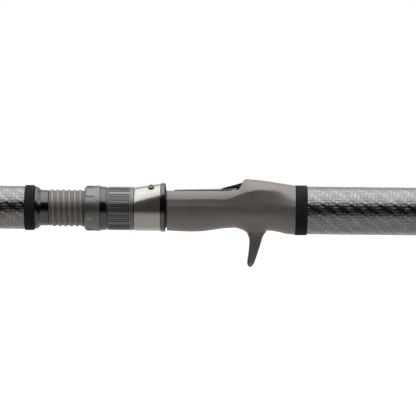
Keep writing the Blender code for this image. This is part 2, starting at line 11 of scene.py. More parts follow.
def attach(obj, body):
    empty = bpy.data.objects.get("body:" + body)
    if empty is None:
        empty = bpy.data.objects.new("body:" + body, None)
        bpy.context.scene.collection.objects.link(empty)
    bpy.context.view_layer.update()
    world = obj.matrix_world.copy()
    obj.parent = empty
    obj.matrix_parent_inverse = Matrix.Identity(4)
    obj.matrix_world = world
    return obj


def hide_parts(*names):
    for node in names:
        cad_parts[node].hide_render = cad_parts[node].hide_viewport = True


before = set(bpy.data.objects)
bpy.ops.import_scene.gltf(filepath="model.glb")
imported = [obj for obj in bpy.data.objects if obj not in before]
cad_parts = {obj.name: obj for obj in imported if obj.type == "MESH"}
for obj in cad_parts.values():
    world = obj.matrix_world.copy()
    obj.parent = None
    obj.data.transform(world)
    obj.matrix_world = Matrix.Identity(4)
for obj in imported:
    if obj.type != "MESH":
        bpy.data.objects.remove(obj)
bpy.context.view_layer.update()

MM = 0.001
TAU = 2.0 * math.pi
SCENE = bpy.context.scene

# ------------------------------------------------------------ dimensions, mm
BLANK_FRONT_X, BLANK_REAR_X = -338.5, -4.3
BLANK_FRONT_R, BLANK_REAR_R = 5.6, 6.35
BARREL_R, THREAD_ROOT_R, PITCH, THREAD_TOP_X = 9.78, 9.25, 3.0, -258.6
HOOD_FRONT_X, HOOD_REAR_X, HOOD_RIM_X = -214.66, -200.9, -198.23
HOOD_R, HOOD_TOP_FRONT, HOOD_TOP_REAR = 11.7, 11.4, 13.4
STEEL, RIM_STEP, HOOD_BORE_R = 0.5, 0.4, 10.2
RIVET, RIVET_TILT = (-205.8, 6.85, 11.35), math.radians(52.0)


def blank_r(x):
    t = (x - BLANK_FRONT_X) / (BLANK_REAR_X - BLANK_FRONT_X)
    return BLANK_FRONT_R + (BLANK_REAR_R - BLANK_FRONT_R) * t


# ---------------------------------------------------------------- node maker
class Shade:
    """A material with short calls for its nodes."""

    def __init__(self, name, color=(0.5, 0.5, 0.5), rough=0.5, metal=0.0, **more):
        self.mat = bpy.data.materials.new(name)
        self.mat.use_nodes = True
        self.tree = self.mat.node_tree
        self.bsdf = self.tree.nodes["Principled BSDF"]
        self.set("Base Color", (*color, 1.0))
        self.set("Roughness", rough)
        self.set("Metallic", metal)
        for key, value in more.items():
            self.set(key.replace("_", " "), value)

    def set(self, socket, value):
        self.bsdf.inputs[socket].default_value = value

    def link(self, socket, source):
        self.tree.links.new(source, self.bsdf.inputs[socket])

    def node(self, kind, **props):
        node = self.tree.nodes.new(kind)
        for key, value in props.items():
            setattr(node, key, value)
        return node

    def put(self, node, index, value):
        if value is None:
            return
        if isinstance(value, bpy.types.NodeSocket):
            self.tree.links.new(value, node.inputs[index])
        else:
            node.inputs[index].default_value = value

    def math(self, op, a, b=None, c=None, clamp=False):
        node = self.node("ShaderNodeMath", operation=op, use_clamp=clamp)
        for i, v in enumerate((a, b, c)):
            self.put(node, i, v)
        return node.outputs[0]

    def object_xyz(self):
        split = self.node("ShaderNodeSeparateXYZ")
        coords = self.node("ShaderNodeTexCoord")
        self.tree.links.new(coords.outputs["Object"], split.inputs[0])
        return split.outputs[0], split.outputs[1], split.outputs[2]

    def object_coords(self, scale=(1.0, 1.0, 1.0)):
        mapping = self.node("ShaderNodeMapping")
        coords = self.node("ShaderNodeTexCoord")
        self.tree.links.new(coords.outputs["Object"], mapping.inputs["Vector"])
        mapping.inputs["Scale"].default_value = scale
        return mapping.outputs[0]

    def noise(self, vector, scale, detail=3.0, rough=0.55, distortion=0.0):
        node = self.node("ShaderNodeTexNoise")
        self.tree.links.new(vector, node.inputs["Vector"])
        node.inputs["Scale"].default_value = scale
        node.inputs["Detail"].default_value = detail
        node.inputs["Roughness"].default_value = rough
        node.inputs["Distortion"].default_value = distortion
        return node.outputs[0]

    def ramp(self, value, low, high, to_low=0.0, to_high=1.0, smooth=False):
        node = self.node("ShaderNodeMapRange")
        if smooth:
            node.interpolation_type = "SMOOTHSTEP"
        self.put(node, 0, value)
        for i, v in enumerate((low, high, to_low, to_high)):
            node.inputs[i + 1].default_value = v
        return node.outputs[0]

    def mix(self, factor, a, b):
        node = self.node("ShaderNodeMix", data_type="RGBA")
        self.put(node, 0, factor)
        for i, v in ((6, a), (7, b)):
            if isinstance(v, bpy.types.NodeSocket):
                self.tree.links.new(v, node.inputs[i])
            else:
                node.inputs[i].default_value = (*v, 1.0)
        return node.outputs[2]

    def bump(self, height, strength, distance):
        node = self.node("ShaderNodeBump")
        self.tree.links.new(height, node.inputs["Height"])
        node.inputs["Strength"].default_value = strength
        node.inputs["Distance"].default_value = distance
        self.link("Normal", node.outputs[0])


def moulded(name, color, rough, grain=0.10, vary=0.10, spec=0.5, metal=0.0, scale=2600.0):
    """Satin moulded plastic, with metal flake in its paint where metal is set:
    fine spark-eroded grain, faint cloudiness."""
    s = Shade(name, color, rough, metal, Specular_IOR_Level=spec)
    p = s.object_coords()
    cloud = s.noise(p, 90.0, 3.0)
    light = tuple(c * (1.0 + vary) for c in color)
    dark = tuple(c * (1.0 - vary) for c in color)
    s.link("Base Color", s.mix(s.ramp(cloud, 0.3, 0.7), dark, light))
    fine = s.noise(p, scale, 2.0, 0.6)
    s.link("Roughness", s.ramp(s.math("ADD", cloud, fine), 0.7, 1.3, rough - 0.05, rough + 0.06))
    s.bump(fine, grain, 0.00012)
    return s.mat


def groove_shaded(name, color, rough, shallow, deep, metal=0.86, groove_shade_share=0.35):
    """Satin plastic with painted shade down in its grooves: the base colour darkens toward the smaller radius."""
    mat = moulded(name, color, rough, 0.12, 0.06, 0.5, metal)
    s = Shade.__new__(Shade)
    s.mat, s.tree = mat, mat.node_tree
    s.bsdf = next(n for n in s.tree.nodes if n.type == "BSDF_PRINCIPLED")
    x, y, z = s.object_xyz()
    radius = s.math("SQRT", s.math("ADD", s.math("MULTIPLY", y, y), s.math("MULTIPLY", z, z)))
    plain = s.bsdf.inputs["Base Color"].links[0].from_socket
    # Painted shade: from the shallow radius in to the deep radius, the base colour falls to a share of itself.
    s.link("Base Color", s.mix(s.ramp(radius, deep, shallow), tuple(c * groove_shade_share for c in color), plain))
    return mat


def gloss(name, color, rough=0.14, metal=0.0, spec=0.5, wear=0.04):
    """Polished dark plastic or plated metal with fine handling marks."""
    s = Shade(name, color, rough, metal, Specular_IOR_Level=spec)
    p = s.object_coords((1.0, 1.0, 1.0))
    smear = s.noise(p, 160.0, 4.0, 0.65, 0.6)
    s.link("Roughness", s.ramp(smear, 0.3, 0.75, max(0.02, rough - wear), rough + wear))
    ripple = s.noise(p, 420.0, 2.0)
    s.bump(ripple, 0.05, 0.0001)
    return s.mat


def foam(name, color):
    """Closed-cell EVA: matte, with small open pores and faint skin mottling."""
    s = Shade(name, color, 0.72, Specular_IOR_Level=0.32)
    p = s.object_coords()
    cells = s.node("ShaderNodeTexVoronoi")
    s.tree.links.new(p, cells.inputs["Vector"])
    cells.inputs["Scale"].default_value = 3100.0
    cloud = s.noise(p, 260.0, 4.0, 0.6)
    light = tuple(c * 1.45 for c in color)
    dark = tuple(c * 0.6 for c in color)
    s.link("Base Color", s.mix(s.ramp(cloud, 0.3, 0.7), dark, light))
    height = s.math("ADD", s.math("MULTIPLY", cells.outputs["Distance"], 1.0),
                    s.math("MULTIPLY", cloud, 0.8))
    s.link("Roughness", s.ramp(cloud, 0.3, 0.7, 0.62, 0.82))
    s.bump(height, 0.45, 0.00022)
    return s.mat


def weave(name, repeats, tow=1.9, tint=(1.0, 0.985, 0.975)):
    """2/2 twill of carbon tows round the X axis under clear resin. Tows round
    the tube mirror the light sharply, and tows along it spread it, so the cloth
    breaks up every band of light. The diagonal falls toward +X."""
    s = Shade(name, (0.3, 0.3, 0.3), 0.3, 1.0, Coat_Weight=0.3, Coat_Roughness=0.06)
    x, y, z = s.object_xyz()
    # A slow wander, as hand-laid cloth never lies quite true.
    wander = s.noise(s.object_coords(), 48.0, 2.0)
    drift = s.math("MULTIPLY", s.math("SUBTRACT", wander, 0.5), 1.3)
    along = s.math("ADD", s.math("MULTIPLY", x, 1000.0 / tow), drift)
    angle = s.math("ARCTAN2", z, s.math("MULTIPLY", y, -1.0))
    round_ = s.math("ADD", s.math("MULTIPLY", angle, 4.0 * repeats / TAU), s.math("MULTIPLY", drift, 0.8))
    i, j = s.math("FLOOR", along), s.math("FLOOR", round_)
    fi, fj = s.math("FRACT", along), s.math("FRACT", round_)
    m = s.math("FLOORED_MODULO", s.math("ADD", i, j), 4.0)
    hoop = s.math("LESS_THAN", m, 1.5)          # a tow round the tube is on top
    # Where along its float of two tows, and where across its width, a point is.
    second = s.math("FLOORED_MODULO", m, 2.0)
    along_run = s.math("ADD", second, fi)
    round_run = s.math("ADD", second, fj)
    run = s.math("DIVIDE", s.pick(hoop, along_run, round_run), 2.0)
    across = s.pick(hoop, fj, fi)
    crown = s.math("SINE", s.math("MULTIPLY", run, math.pi))
    edge = s.math("SUBTRACT", 1.0, s.math("POWER", s.math("ABSOLUTE", s.math(
        "SUBTRACT", s.math("MULTIPLY", across, 2.0), 1.0)), 4.0))
    height = s.math("MULTIPLY", s.math("POWER", crown, 0.7), edge)
    fibre_along = s.noise(s.object_coords((90.0, 2600.0, 2600.0)), 1.0, 2.0)
    fibre_round = s.noise(s.object_coords((4200.0, 240.0, 240.0)), 1.0, 2.0)
    fibre = s.pick(hoop, fibre_along, fibre_round)
    patch = s.noise(s.object_coords(), 310.0, 2.0)
    # Painted sheen: the tows round the tube get a slightly brighter base colour than the tows along it, for their
    # sharper reflection.
    tone = s.math("ADD", s.pick(hoop, 0.35, 0.385), s.math("MULTIPLY", s.math("SUBTRACT", fibre, 0.5), 0.16))
    tone = s.math("ADD", tone, s.math("MULTIPLY", s.math("SUBTRACT", patch, 0.5), 0.26))
    seam = s.ramp(height, 0.0, 0.35, 0.45, 1.0, True)
    tone = s.math("MULTIPLY", tone, seam)
    color = s.node("ShaderNodeCombineColor")
    for k in range(3):
        s.put(color, k, s.math("MULTIPLY", tone, tint[k]))
    s.link("Base Color", color.outputs[0])
    s.link("Roughness", s.pick(hoop, 0.31, 0.20))
    relief = s.math("ADD", height, s.math("MULTIPLY", fibre, 0.12))
    s.bump(relief, 0.5, 0.00018)
    return s.mat


def pick(self, factor, zero, one):
    """one where factor is 1, zero where it is 0."""
    if not isinstance(one, bpy.types.NodeSocket) and not isinstance(zero, bpy.types.NodeSocket):
        return self.math("MULTIPLY_ADD", factor, one - zero, zero)
    return self.math("ADD", self.math("MULTIPLY", factor, one),
                     self.math("MULTIPLY", self.math("SUBTRACT", 1.0, factor), zero))


Shade.pick = pick


def brushed(name, color, rough):
    """Polished sheet steel with faint lines left round the tube."""
    s = Shade(name, color, rough, 1.0)
    lines = s.noise(s.object_coords((900.0, 25.0, 25.0)), 1.0, 3.0, 0.6)
    cloud = s.noise(s.object_coords(), 130.0, 3.0)
    dark = tuple(c * 0.94 for c in color)
    s.link("Base Color", s.mix(s.ramp(lines, 0.25, 0.75), dark, color))
    s.link("Roughness", s.ramp(s.math("ADD", lines, cloud), 0.7, 1.3, rough - 0.03, rough + 0.05))
    s.bump(lines, 0.03, 0.00005)
    return s.mat


def wrapped(name, color):
    """Thread wound side by side under epoxy, with a painted highlight on each turn and painted shade between the
    turns.
    """
    s = Shade(name, color, 0.35, Coat_Weight=1.0, Coat_Roughness=0.05)
    x, y, z = s.object_xyz()
    turn = s.math("SINE", s.math("MULTIPLY", x, 1000.0 * TAU / 0.32))
    # Painted highlight and shade: the base colour follows the turns, lighter on each crown and darker in the gap
    # between turns.
    s.link("Base Color", s.mix(s.ramp(turn, -1.0, 1.0), tuple(c * 0.5 for c in color),
                               tuple(c * 1.7 for c in color)))
    s.link("Roughness", s.ramp(turn, -1.0, 1.0, 0.42, 0.3))
    s.bump(turn, 0.35, 0.00006)
    return s.mat


LOOK = {
    "seat": moulded("seat_satin_plastic", (0.345, 0.318, 0.302), 0.45, 0.12, 0.06, 0.5, 0.7),
    "plate": moulded("bed_plate_plastic", (0.37, 0.345, 0.33), 0.42, 0.12, 0.06, 0.5, 0.7),
    "nut": moulded("nut_satin_plastic", (0.295, 0.296, 0.288), 0.38, 0.12, 0.06, 0.5, 0.86),
    # The barrel's thread roots and the hood nut's grooves get painted shade.
    "thread": groove_shaded("barrel_satin_plastic", (0.36, 0.333, 0.317), 0.45, 0.00972, 0.0093, 0.7, 0.62),
    "nut_c": groove_shaded("nut_grooved_plastic", (0.295, 0.296, 0.288), 0.38, 0.01144, 0.0111),
    "liner": moulded("liner_black_plastic", (0.003, 0.003, 0.0035), 0.5, spec=0.22),
    "black": gloss("black_chrome_rim", (0.185, 0.187, 0.195), 0.2, 1.0),
    "cap": gloss("gloss_black_plastic", (0.008, 0.008, 0.0085), 0.16),
    "collar": gloss("gunmetal_plating", (0.165, 0.166, 0.178), 0.17, 1.0),
    "steel": brushed("polished_hood_steel", (0.68, 0.655, 0.61), 0.19),
    "rivet": brushed("rivet_steel", (0.22, 0.22, 0.225), 0.28),
    "eva": foam("eva_black_foam", (0.0125, 0.0125, 0.013)),
    "carbon_rear": weave("carbon_twill_rear", 11),
    "carbon_fore": weave("carbon_twill_fore", 10),
    "graphite": gloss("blank_graphite", (0.02, 0.021, 0.023), 0.18, 0.0, 0.6),
    "wrap": wrapped("guide_wrap_thread", (0.016, 0.016, 0.018)),
    "core": moulded("core_foam", (0.2, 0.19, 0.17), 0.85, 0.6, 0.15, 0.3, scale=1500.0),
}


# ------------------------------------------------------------- shape makers
LOOK["steel"].node_tree.nodes["Principled BSDF"].inputs["Metallic"].default_value = 0.86


def fillet(points, radius, steps=3, closed=True):
    """The outline with each corner rounded; radius is one number or a list."""
    count = len(points)
    radii = radius if isinstance(radius, (list, tuple)) else [radius] * count
    out = []
    for i, p in enumerate(points):
        p = np.array(p, float)
        r = radii[i]
        if r <= 0.0 or (not closed and i in (0, count - 1)):
            out.append(tuple(p))
            continue
        a, b = np.array(points[i - 1], float), np.array(points[(i + 1) % count], float)
        la, lb = np.linalg.norm(a - p), np.linalg.norm(b - p)
        ta, tb = min(r, la * 0.48), min(r, lb * 0.48)
        start, end = p + (a - p) / la * ta, p + (b - p) / lb * tb
        for k in range(steps + 1):
            t = k / steps
            out.append(tuple((1 - t) ** 2 * start + 2 * t * (1 - t) * p + t * t * end))
    return out


def grid_object(name, grid, look, wrap_rows=True, angle=38.0):
    """A mesh from rows of rings; rings close on themselves. Faces point out."""
    grid = np.asarray(grid, float)
    rows, count = grid.shape[:2]
    verts = grid.reshape(-1, 3) * MM
    r = np.arange(rows if wrap_rows else rows - 1)
    c = np.arange(count)
    a = (r[:, None] * count + c[None, :]).ravel()
    b = (r[:, None] * count + (c[None, :] + 1) % count).ravel()
    up = ((r[:, None] + 1) % rows * count + c[None, :]).ravel()
    upb = ((r[:, None] + 1) % rows * count + (c[None, :] + 1) % count).ravel()
    faces = np.stack([a, b, upb, up], 1)
    return solid_object(name, verts, faces.tolist(), look, angle, scale=1.0)


def solid_object(name, verts, faces, look, angle=38.0, scale=MM):
    mesh = bpy.data.meshes.new(name)
    mesh.from_pydata((np.asarray(verts, float) * scale).tolist(), [], faces)
    bm = bmesh.new()
    bm.from_mesh(mesh)
    bmesh.ops.remove_doubles(bm, verts=bm.verts, dist=1e-7)
    bmesh.ops.recalc_face_normals(bm, faces=bm.faces)
    if bm.calc_volume(signed=True) < 0.0:
        bmesh.ops.reverse_faces(bm, faces=bm.faces)
    bm.to_mesh(mesh)
    bm.free()
    mesh.shade_smooth()
    mesh.set_sharp_from_angle(angle=math.radians(angle))
    obj = bpy.data.objects.new(name, mesh)
    SCENE.collection.objects.link(obj)
    if look is not None:
        mesh.materials.append(LOOK[look])
    return obj


def spread(points, step, closed=True):
    """The outline with long runs divided, so that a change round it can show."""
    out = []
    count = len(points)
    for i in range(count if closed else count - 1):
        a, b = np.array(points[i], float), np.array(points[(i + 1) % count], float)
        parts = max(1, int(math.ceil(np.linalg.norm(b - a) / step)))
        out += [tuple(a + (b - a) * k / parts) for k in range(parts)]
    if not closed:
        out.append(tuple(points[-1]))
    return out


def revolve(name, outline, look, seg=128, change=None, closed=True, angle=38.0):
    """An outline of (x, r) turned round the X axis. change(x, theta, r) may
    move the surface in or out; theta runs by the right hand from +Y."""
    pts = np.array(outline, float)
    theta = np.arange(seg) / seg * TAU
    x = np.repeat(pts[:, :1], seg, 1)
    r = np.repeat(pts[:, 1:2], seg, 1)
    if change is not None:
        r = change(x, np.repeat(theta[None, :], len(pts), 0), r)
    grid = np.stack([x, r * np.cos(theta)[None, :], r * np.sin(theta)[None, :]], 2)
    return grid_object(name, grid, look, wrap_rows=closed, angle=angle)


def place(obj, body, *nodes, slot=None):
    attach(obj, body)
    if nodes:
        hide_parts(*nodes)
    return obj


def evaluated_mesh(obj):
    graph = bpy.context.evaluated_depsgraph_get()
    return bpy.data.meshes.new_from_object(obj.evaluated_get(graph), depsgraph=graph)


# ------------------------------------------------------- grips, rings, ends
def over_blank(name, x0, x1, outer, look, radius=0.3, seg=128, slot=None, nodes=None):
    outline = [(x0, blank_r(x0) + 0.2), *outer, (x1, blank_r(x1) + 0.2)]
    radii = [0.0] + [radius] * len(outer) + [0.0]
    obj = revolve(name + "_surface", fillet(outline, radii, 4), look, seg)
    return place(obj, "handle", name, slot=slot)


over_blank("fore_grip_front_ring", -311.1, -306.42,
           [(-311.1, 11.3), (-310.4, 12.03), (-306.42, 12.03)], "eva", 0.5, slot="eva_black")
over_blank("fore_grip_rear_ring", -272.68, -267.3,
           [(-272.68, 12.03), (-268.2, 12.03), (-267.3, 11.3)], "eva", 0.45, slot="eva_black")
over_blank("rear_grip_front_ring", -129.28, -123.02,
           [(-129.28, 13.28), (-123.02, 13.28)], "eva", 0.45, slot="eva_black")
over_blank("rear_grip_end_ring", -18.28, -13.02,
           [(-18.28, 13.28), (-13.02, 13.28)], "eva", 0.45, slot="eva_black")
over_blank("thread_collar", -267.28, -260.25,
           [(-267.28, 11.16), (-266.1, 11.16), (-264.2, 9.47), (-260.25, 9.47)], "collar", 0.22,
           slot="collar_metal")
over_blank("winding_check", -315.3, -311.4,
           [(-315.3, 6.7), (-314.9, 7.3), (-312.0, 10.4), (-311.4, 10.6)], "collar", 0.25,
           slot="collar_metal")


def sleeve(name, x0, x1, r_in, r_out, look):
    outline = fillet([(x0, r_in), (x0, r_out), (x1, r_out), (x1, r_in)], [0, 0.2, 0.2, 0], 3)
    obj = revolve(name + "_surface", spread(outline, 6.0), look, 160)
    return place(obj, "handle", name, slot="carbon_weave")


sleeve("fore_grip_sleeve", -306.4, -272.7, 10.42, 11.43, "carbon_fore")
sleeve("rear_grip_sleeve", -123.0, -18.3, 11.7, 12.72, "carbon_rear")

cap = revolve("butt_cap_surface", fillet([
    (-4.05, 0.0), (-4.05, 6.6), (-13.0, 6.6), (-13.0, 13.1), (-4.6, 13.1), (-2.0, 12.3),
    (-0.5, 10.6), (0.0, 9.0), (0.0, 0.0)], [0, 0, 0, 0.35, 2.0, 1.6, 1.2, 0.8, 0], 5, closed=False),
    "cap", 128, closed=False)
place(cap, "handle", "butt_cap", slot="gloss_black")

blank = revolve("blank_tube_surface", fillet([
    (BLANK_FRONT_X, BLANK_FRONT_R - 1.25), (BLANK_FRONT_X, BLANK_FRONT_R),
    (BLANK_REAR_X, BLANK_REAR_R), (BLANK_REAR_X, BLANK_REAR_R - 1.25)], [0, 0.2, 0.2, 0], 3),
    "graphite", 96)
place(blank, "handle", "blank_tube", slot="graphite")
spigot = revolve("spigot_ferrule_surface", fillet([
    (-361.0, 0.0), (-361.0, 3.2), (-360.3, 3.9), (-338.5, 4.2), (-302.0, 4.2), (-300.5, 3.6),
    (-300.5, 0.0)], [0, 0.5, 0.6, 0, 0, 0, 0], 4, closed=False), "graphite", 96, closed=False)
place(spigot, "handle", "spigot_ferrule", slot="graphite")


def wound(x, theta, r):
    """Turns of thread under a coat of epoxy that thins out at both ends."""
    outer = r > 6.0
    return np.where(outer, r + 0.025 * np.sin((x + theta / TAU * 0.32) * TAU / 0.32), r)


wrap = revolve("ferrule_wrap_surface", spread(fillet([
    (-337.0, blank_r(-337.0) + 0.1), (-337.0, blank_r(-337.0) + 0.3),
    (-336.2, blank_r(-336.2) + 0.56), (-322.8, blank_r(-322.8) + 0.56),
    (-322.0, blank_r(-322.0) + 0.3), (-322.0, blank_r(-322.0) + 0.1)],
    [0, 0.2, 0.6, 0.6, 0.2, 0], 4), 0.08), "wrap", 96, wound)
place(wrap, "handle", "ferrule_wrap", slot="wrap_thread")


# ------------------------------------------------------------------- barrel
def thread_height(phase):
    """Height, 0 to 1, of a rounded trapezoid thread by its phase; 0 is mid crest."""
    p = np.abs((phase + 0.5) % 1.0 - 0.5) * PITCH      # mm from the middle of the crest
    t = np.clip((1.06 - p) / 0.70, 0.0, 1.0)
    return t * t * (3.0 - 2.0 * t)


def barrel_change(x, theta, r):
    on = (r > 9.2) & (x < -217.8)
    phase = (x - THREAD_TOP_X) / PITCH - (theta / TAU - 0.25)
    fade = np.clip((x + 260.0) / 0.7, 0.0, 1.0) * np.clip((-218.6 - x) / 0.5, 0.0, 1.0)
    return np.where(on, r + (BARREL_R - THREAD_ROOT_R) * thread_height(phase) * fade, r)


def barrel():
    outline = [(-260.0, 8.0), (-260.0, 9.25), (-218.3, 9.25), (-217.8, 9.95), (-197.45, 9.95),
               (-197.2, 9.3), (-190.0, 9.2), (-190.0, 8.0)]
    pts = fillet(outline, [0, 0.15, 0, 0, 0.1, 0, 0, 0], 2)
    dense = []
    for i, p in enumerate(pts):
        q = pts[(i + 1) % len(pts)]
        dense.append(p)
        if p[1] > 9.2 and q[1] > 9.2 and q[0] - p[0] > 20.0:
            steps = int((q[0] - p[0]) / 0.1)
            dense += [(p[0] + (q[0] - p[0]) * k / steps, p[1]) for k in range(1, steps)]
    return revolve("seat_barrel", dense, "thread", 144, barrel_change, angle=60.0)


# --------------------------------------------------------------- seat body
STATIONS = [
    (-197.3, 9.75, 8.2, 9.72, 10.7, 5.05, 11.25, -11.45),
    (-190.5, 9.8, 8.2, 9.77, 10.9, 5.1, 11.5, -11.75),
    (-184.5, 9.85, 8.2, 9.8, 10.9, 5.25, 11.5, -11.9),
    (-178.0, 9.9, 8.2, 9.85, 10.85, 5.45, 11.45, -11.58),
    (-171.5, 9.95, 8.25, 9.9, 10.75, 5.5, 11.3, -10.65),
    (-166.2, 10.0, 8.4, 9.95, 10.7, 5.5, 11.2, -9.9),
    (-162.0, 10.25, 8.6, 10.3, 10.7, 6.6, 11.15, -9.65),
    (-159.6, 10.35, 8.8, 10.6, 10.7, 7.6, 11.2, -9.9),
    (-156.9, 15.35, 7.5, 14.2, 10.75, 8.7, 11.25, -9.98),
    (-154.6, 16.3, 6.5, 15.6, 10.75, 9.5, 11.35, -10.05),
    (-150.5, 16.0, 6.5, 15.3, 10.8, 10.4, 11.5, -10.1),
    (-147.0, 15.65, 6.6, 14.95, 10.85, 10.6, 11.7, -10.3),
    (-143.3, 15.2, 7.0, 14.4, 10.9, 10.35, 12.0, -10.95),
    (-139.0, 14.5, 7.5, 13.5, 11.0, 10.0, 12.45, -11.42),
    (-134.5, 13.85, 8.0, 12.2, 11.4, 7.7, 12.85, -12.45),
    (-131.5, 13.4, 8.1, 11.1, 11.8, 6.1, 13.05, -12.8),
    (-129.3, 13.15, 8.1, 10.37, 12.0, 5.35, 13.1, -13.0),
]
TRIGGER = [
    (-11.45, -10.3, -155.7, -144.4, 4.9),
    (-13.57, -12.6, -154.15, -145.85, 3.9),
    (-15.9, -15.4, -153.5, -146.75, 3.3),
    (-19.1, -19.0, -153.55, -147.65, 3.0),
    (-22.8, -22.8, -153.87, -148.8, 2.8),
    (-26.5, -26.5, -154.37, -150.0, 2.5),
    (-28.9, -28.9, -154.35, -151.0, 1.9),
]
TRIGGER_TIP = (-153.0, -30.6)
LOOP_ANGLES = (180, 157, 132, 112, 97, 83, 68, 48, 23, 0)
PATCH = (7, 12)


def half_section(station):
    x, z0, y2, z2, y4, z4, wide, low = station
    y1, y3 = 0.6 * y2, (y2 + y4) / 2
    points = [(0.0, z0), (y1, z0 + 0.12 * (z2 - z0)), (y2, z2),
              (y3 + 0.15, (z2 + z4) / 2 + 0.2), (y4, z4),
              (wide - 0.25 * (wide - y4), z4 * 0.5), (wide, 0.0)]
    for angle in (28.0, 54.0, 73.0, 90.0):
        a = math.radians(angle)
        points.append((wide * math.cos(a), low * math.sin(a)))
    points[-1] = (0.0, low)
    return [(x, y, z) for y, z in points]


def seat_cage():
    points, faces, crisp = [], [], {}
    rings = []
    for station in STATIONS:
        half = half_section(station)
        ring = half + [(x, -y, z) for x, y, z in reversed(half[1:-1])]
        rings.append(list(range(len(points), len(points) + len(ring))))
        points += ring
    count = len(rings[0])
    first, last = PATCH
    for i in range(len(rings) - 1):
        for j in range(count):
            if first <= i < last and 8 <= j < 12:
                continue
            k = (j + 1) % count
            faces.append((rings[i][j], rings[i][k], rings[i + 1][k], rings[i + 1][j]))
        for j, amount in ((2, 1.0), (18, 1.0), (4, 0.55), (16, 0.55)):
            weight = amount
            if i >= 12:
                weight = amount * max(0.0, (16 - i) / 6)
                if j in (4, 16):
                    weight = (0.3, 0.1, 0.0, 0.0)[i - 12]
            if j in (4, 16) and i in (6, 7):
                weight = 0.7
            if weight > 0:
                crisp[(rings[i][j], rings[i + 1][j])] = weight
    for ring in (rings[0], rings[-1]):
        for j in range(count):
            crisp[(ring[j], ring[(j + 1) % count])] = 1.0
    faces.append(tuple(reversed(rings[0])))
    faces.append(tuple(rings[-1]))
    for i in (7, 9):
        for j in (17, 18, 19, 0, 1, 2):
            crisp[(rings[i][j], rings[i][(j + 1) % count])] = 0.9 if i == 9 else 0.7
    loop = [rings[first][10], rings[first][9]]
    loop += [rings[i][8] for i in range(first, last + 1)]
    loop += [rings[last][9], rings[last][10], rings[last][11]]
    loop += [rings[i][12] for i in range(last, first - 1, -1)]
    loop += [rings[first][11]]
    angles = list(LOOP_ANGLES) + [-a for a in reversed(LOOP_ANGLES[1:-1])]
    n = len(loop)
    previous = loop
    for z_end, z_side, x_front, x_back, half in TRIGGER:
        ring = []
        for angle in angles:
            a = math.radians(angle)
            c, s = math.cos(a), math.sin(a)
            x = (x_front + x_back) / 2 + (x_back - x_front) / 2 * math.copysign(abs(c) ** 0.85, c)
            y = half * math.copysign(abs(s) ** 0.85, s)
            ring.append(len(points))
            points.append((x, y, z_end + (z_side - z_end) * s * s))
        for j in range(n):
            k = (j + 1) % n
            faces.append((previous[j], ring[j], ring[k], previous[k]))
        previous = ring
    tip = len(points)
    points.append((TRIGGER_TIP[0], 0.0, TRIGGER_TIP[1]))
    for j in range(n):
        faces.append((previous[j], tip, previous[(j + 1) % n]))
    return np.array(points), faces, crisp


def fitted(name, points, faces, crisp, look, level, rounds=30):
    """A Subdivision Surface whose skin passes through the given points."""
    mesh = bpy.data.meshes.new(name)
    mesh.from_pydata((np.array(points) * MM).tolist(), [], faces)
    crease = mesh.attributes.new("crease_edge", "FLOAT", "EDGE")
    for edge in mesh.edges:
        a, b = edge.vertices
        crease.data[edge.index].value = crisp.get((a, b), crisp.get((b, a), 0.0))
    bm = bmesh.new()
    bm.from_mesh(mesh)
    bmesh.ops.recalc_face_normals(bm, faces=bm.faces)
    if bm.calc_volume(signed=True) < 0.0:
        bmesh.ops.reverse_faces(bm, faces=bm.faces)
    bm.to_mesh(mesh)
    bm.free()
    mesh.shade_smooth()
    obj = bpy.data.objects.new(name, mesh)
    SCENE.collection.objects.link(obj)
    mesh.materials.append(LOOK[look])
    sub = obj.modifiers.new("skin", "SUBSURF")
    sub.levels = sub.render_levels = 1
    target = np.array(points) * MM
    cage = target.copy()
    for _ in range(rounds):
        skin = evaluated_mesh(obj)
        got = np.empty(len(skin.vertices) * 3)
        skin.vertices.foreach_get("co", got)
        miss = target - got.reshape(-1, 3)[: len(target)]
        bpy.data.meshes.remove(skin)
        cage += 0.8 * miss
        mesh.vertices.foreach_set("co", cage.reshape(-1))
        mesh.update()
    sub.levels = sub.render_levels = level
    return obj


def cutter(obj):
    obj.hide_render = True
    obj.hide_viewport = False
    obj.display_type = "WIRE"
    return obj


def box_cutter(name, x, y, z):
    v = [(a, b, c) for a in x for b in y for c in z]
    f = [(0, 1, 3, 2), (4, 6, 7, 5), (0, 4, 5, 1), (2, 3, 7, 6), (0, 2, 6, 4), (1, 5, 7, 3)]
    return cutter(solid_object(name, v, f, None))


def loft_object(name, rings, look, angle=38.0, hollow=False):
    count = len(rings[0])
    verts = [p for ring in rings for p in ring]
    faces = []
    for i in range(len(rings) if hollow else len(rings) - 1):
        a, b = i * count, (i + 1) % len(rings) * count
        for j in range(count):
            k = (j + 1) % count
            faces.append((a + j, a + k, b + k, b + j))
    if not hollow:
        faces.append(tuple(range(count - 1, -1, -1)))
        last = (len(rings) - 1) * count
        faces.append(tuple(range(last, last + count)))
    return solid_object(name, verts, faces, look, angle)


def mouth(half, floor, shoulder, corner_y, corner_z, top):
    right = [(half, floor), (half, shoulder), (corner_y, corner_z), (corner_y * 0.62, top)]
    return right + [(-y, z) for y, z in reversed(right)]


def settle(obj, cutters, angle=35.0):
    """Cuts applied, cutters gone, shading redone."""
    for other in cutters:
        mod = obj.modifiers.new("cut", "BOOLEAN")
        mod.operation = "DIFFERENCE"
        mod.solver = "EXACT"
        mod.object = other
    mesh = evaluated_mesh(obj)
    obj.modifiers.clear()
    obj.data = mesh
    for other in cutters:
        bpy.data.objects.remove(other, do_unlink=True)
    mesh.shade_smooth()
    mesh.set_sharp_from_angle(angle=math.radians(angle))
    return obj


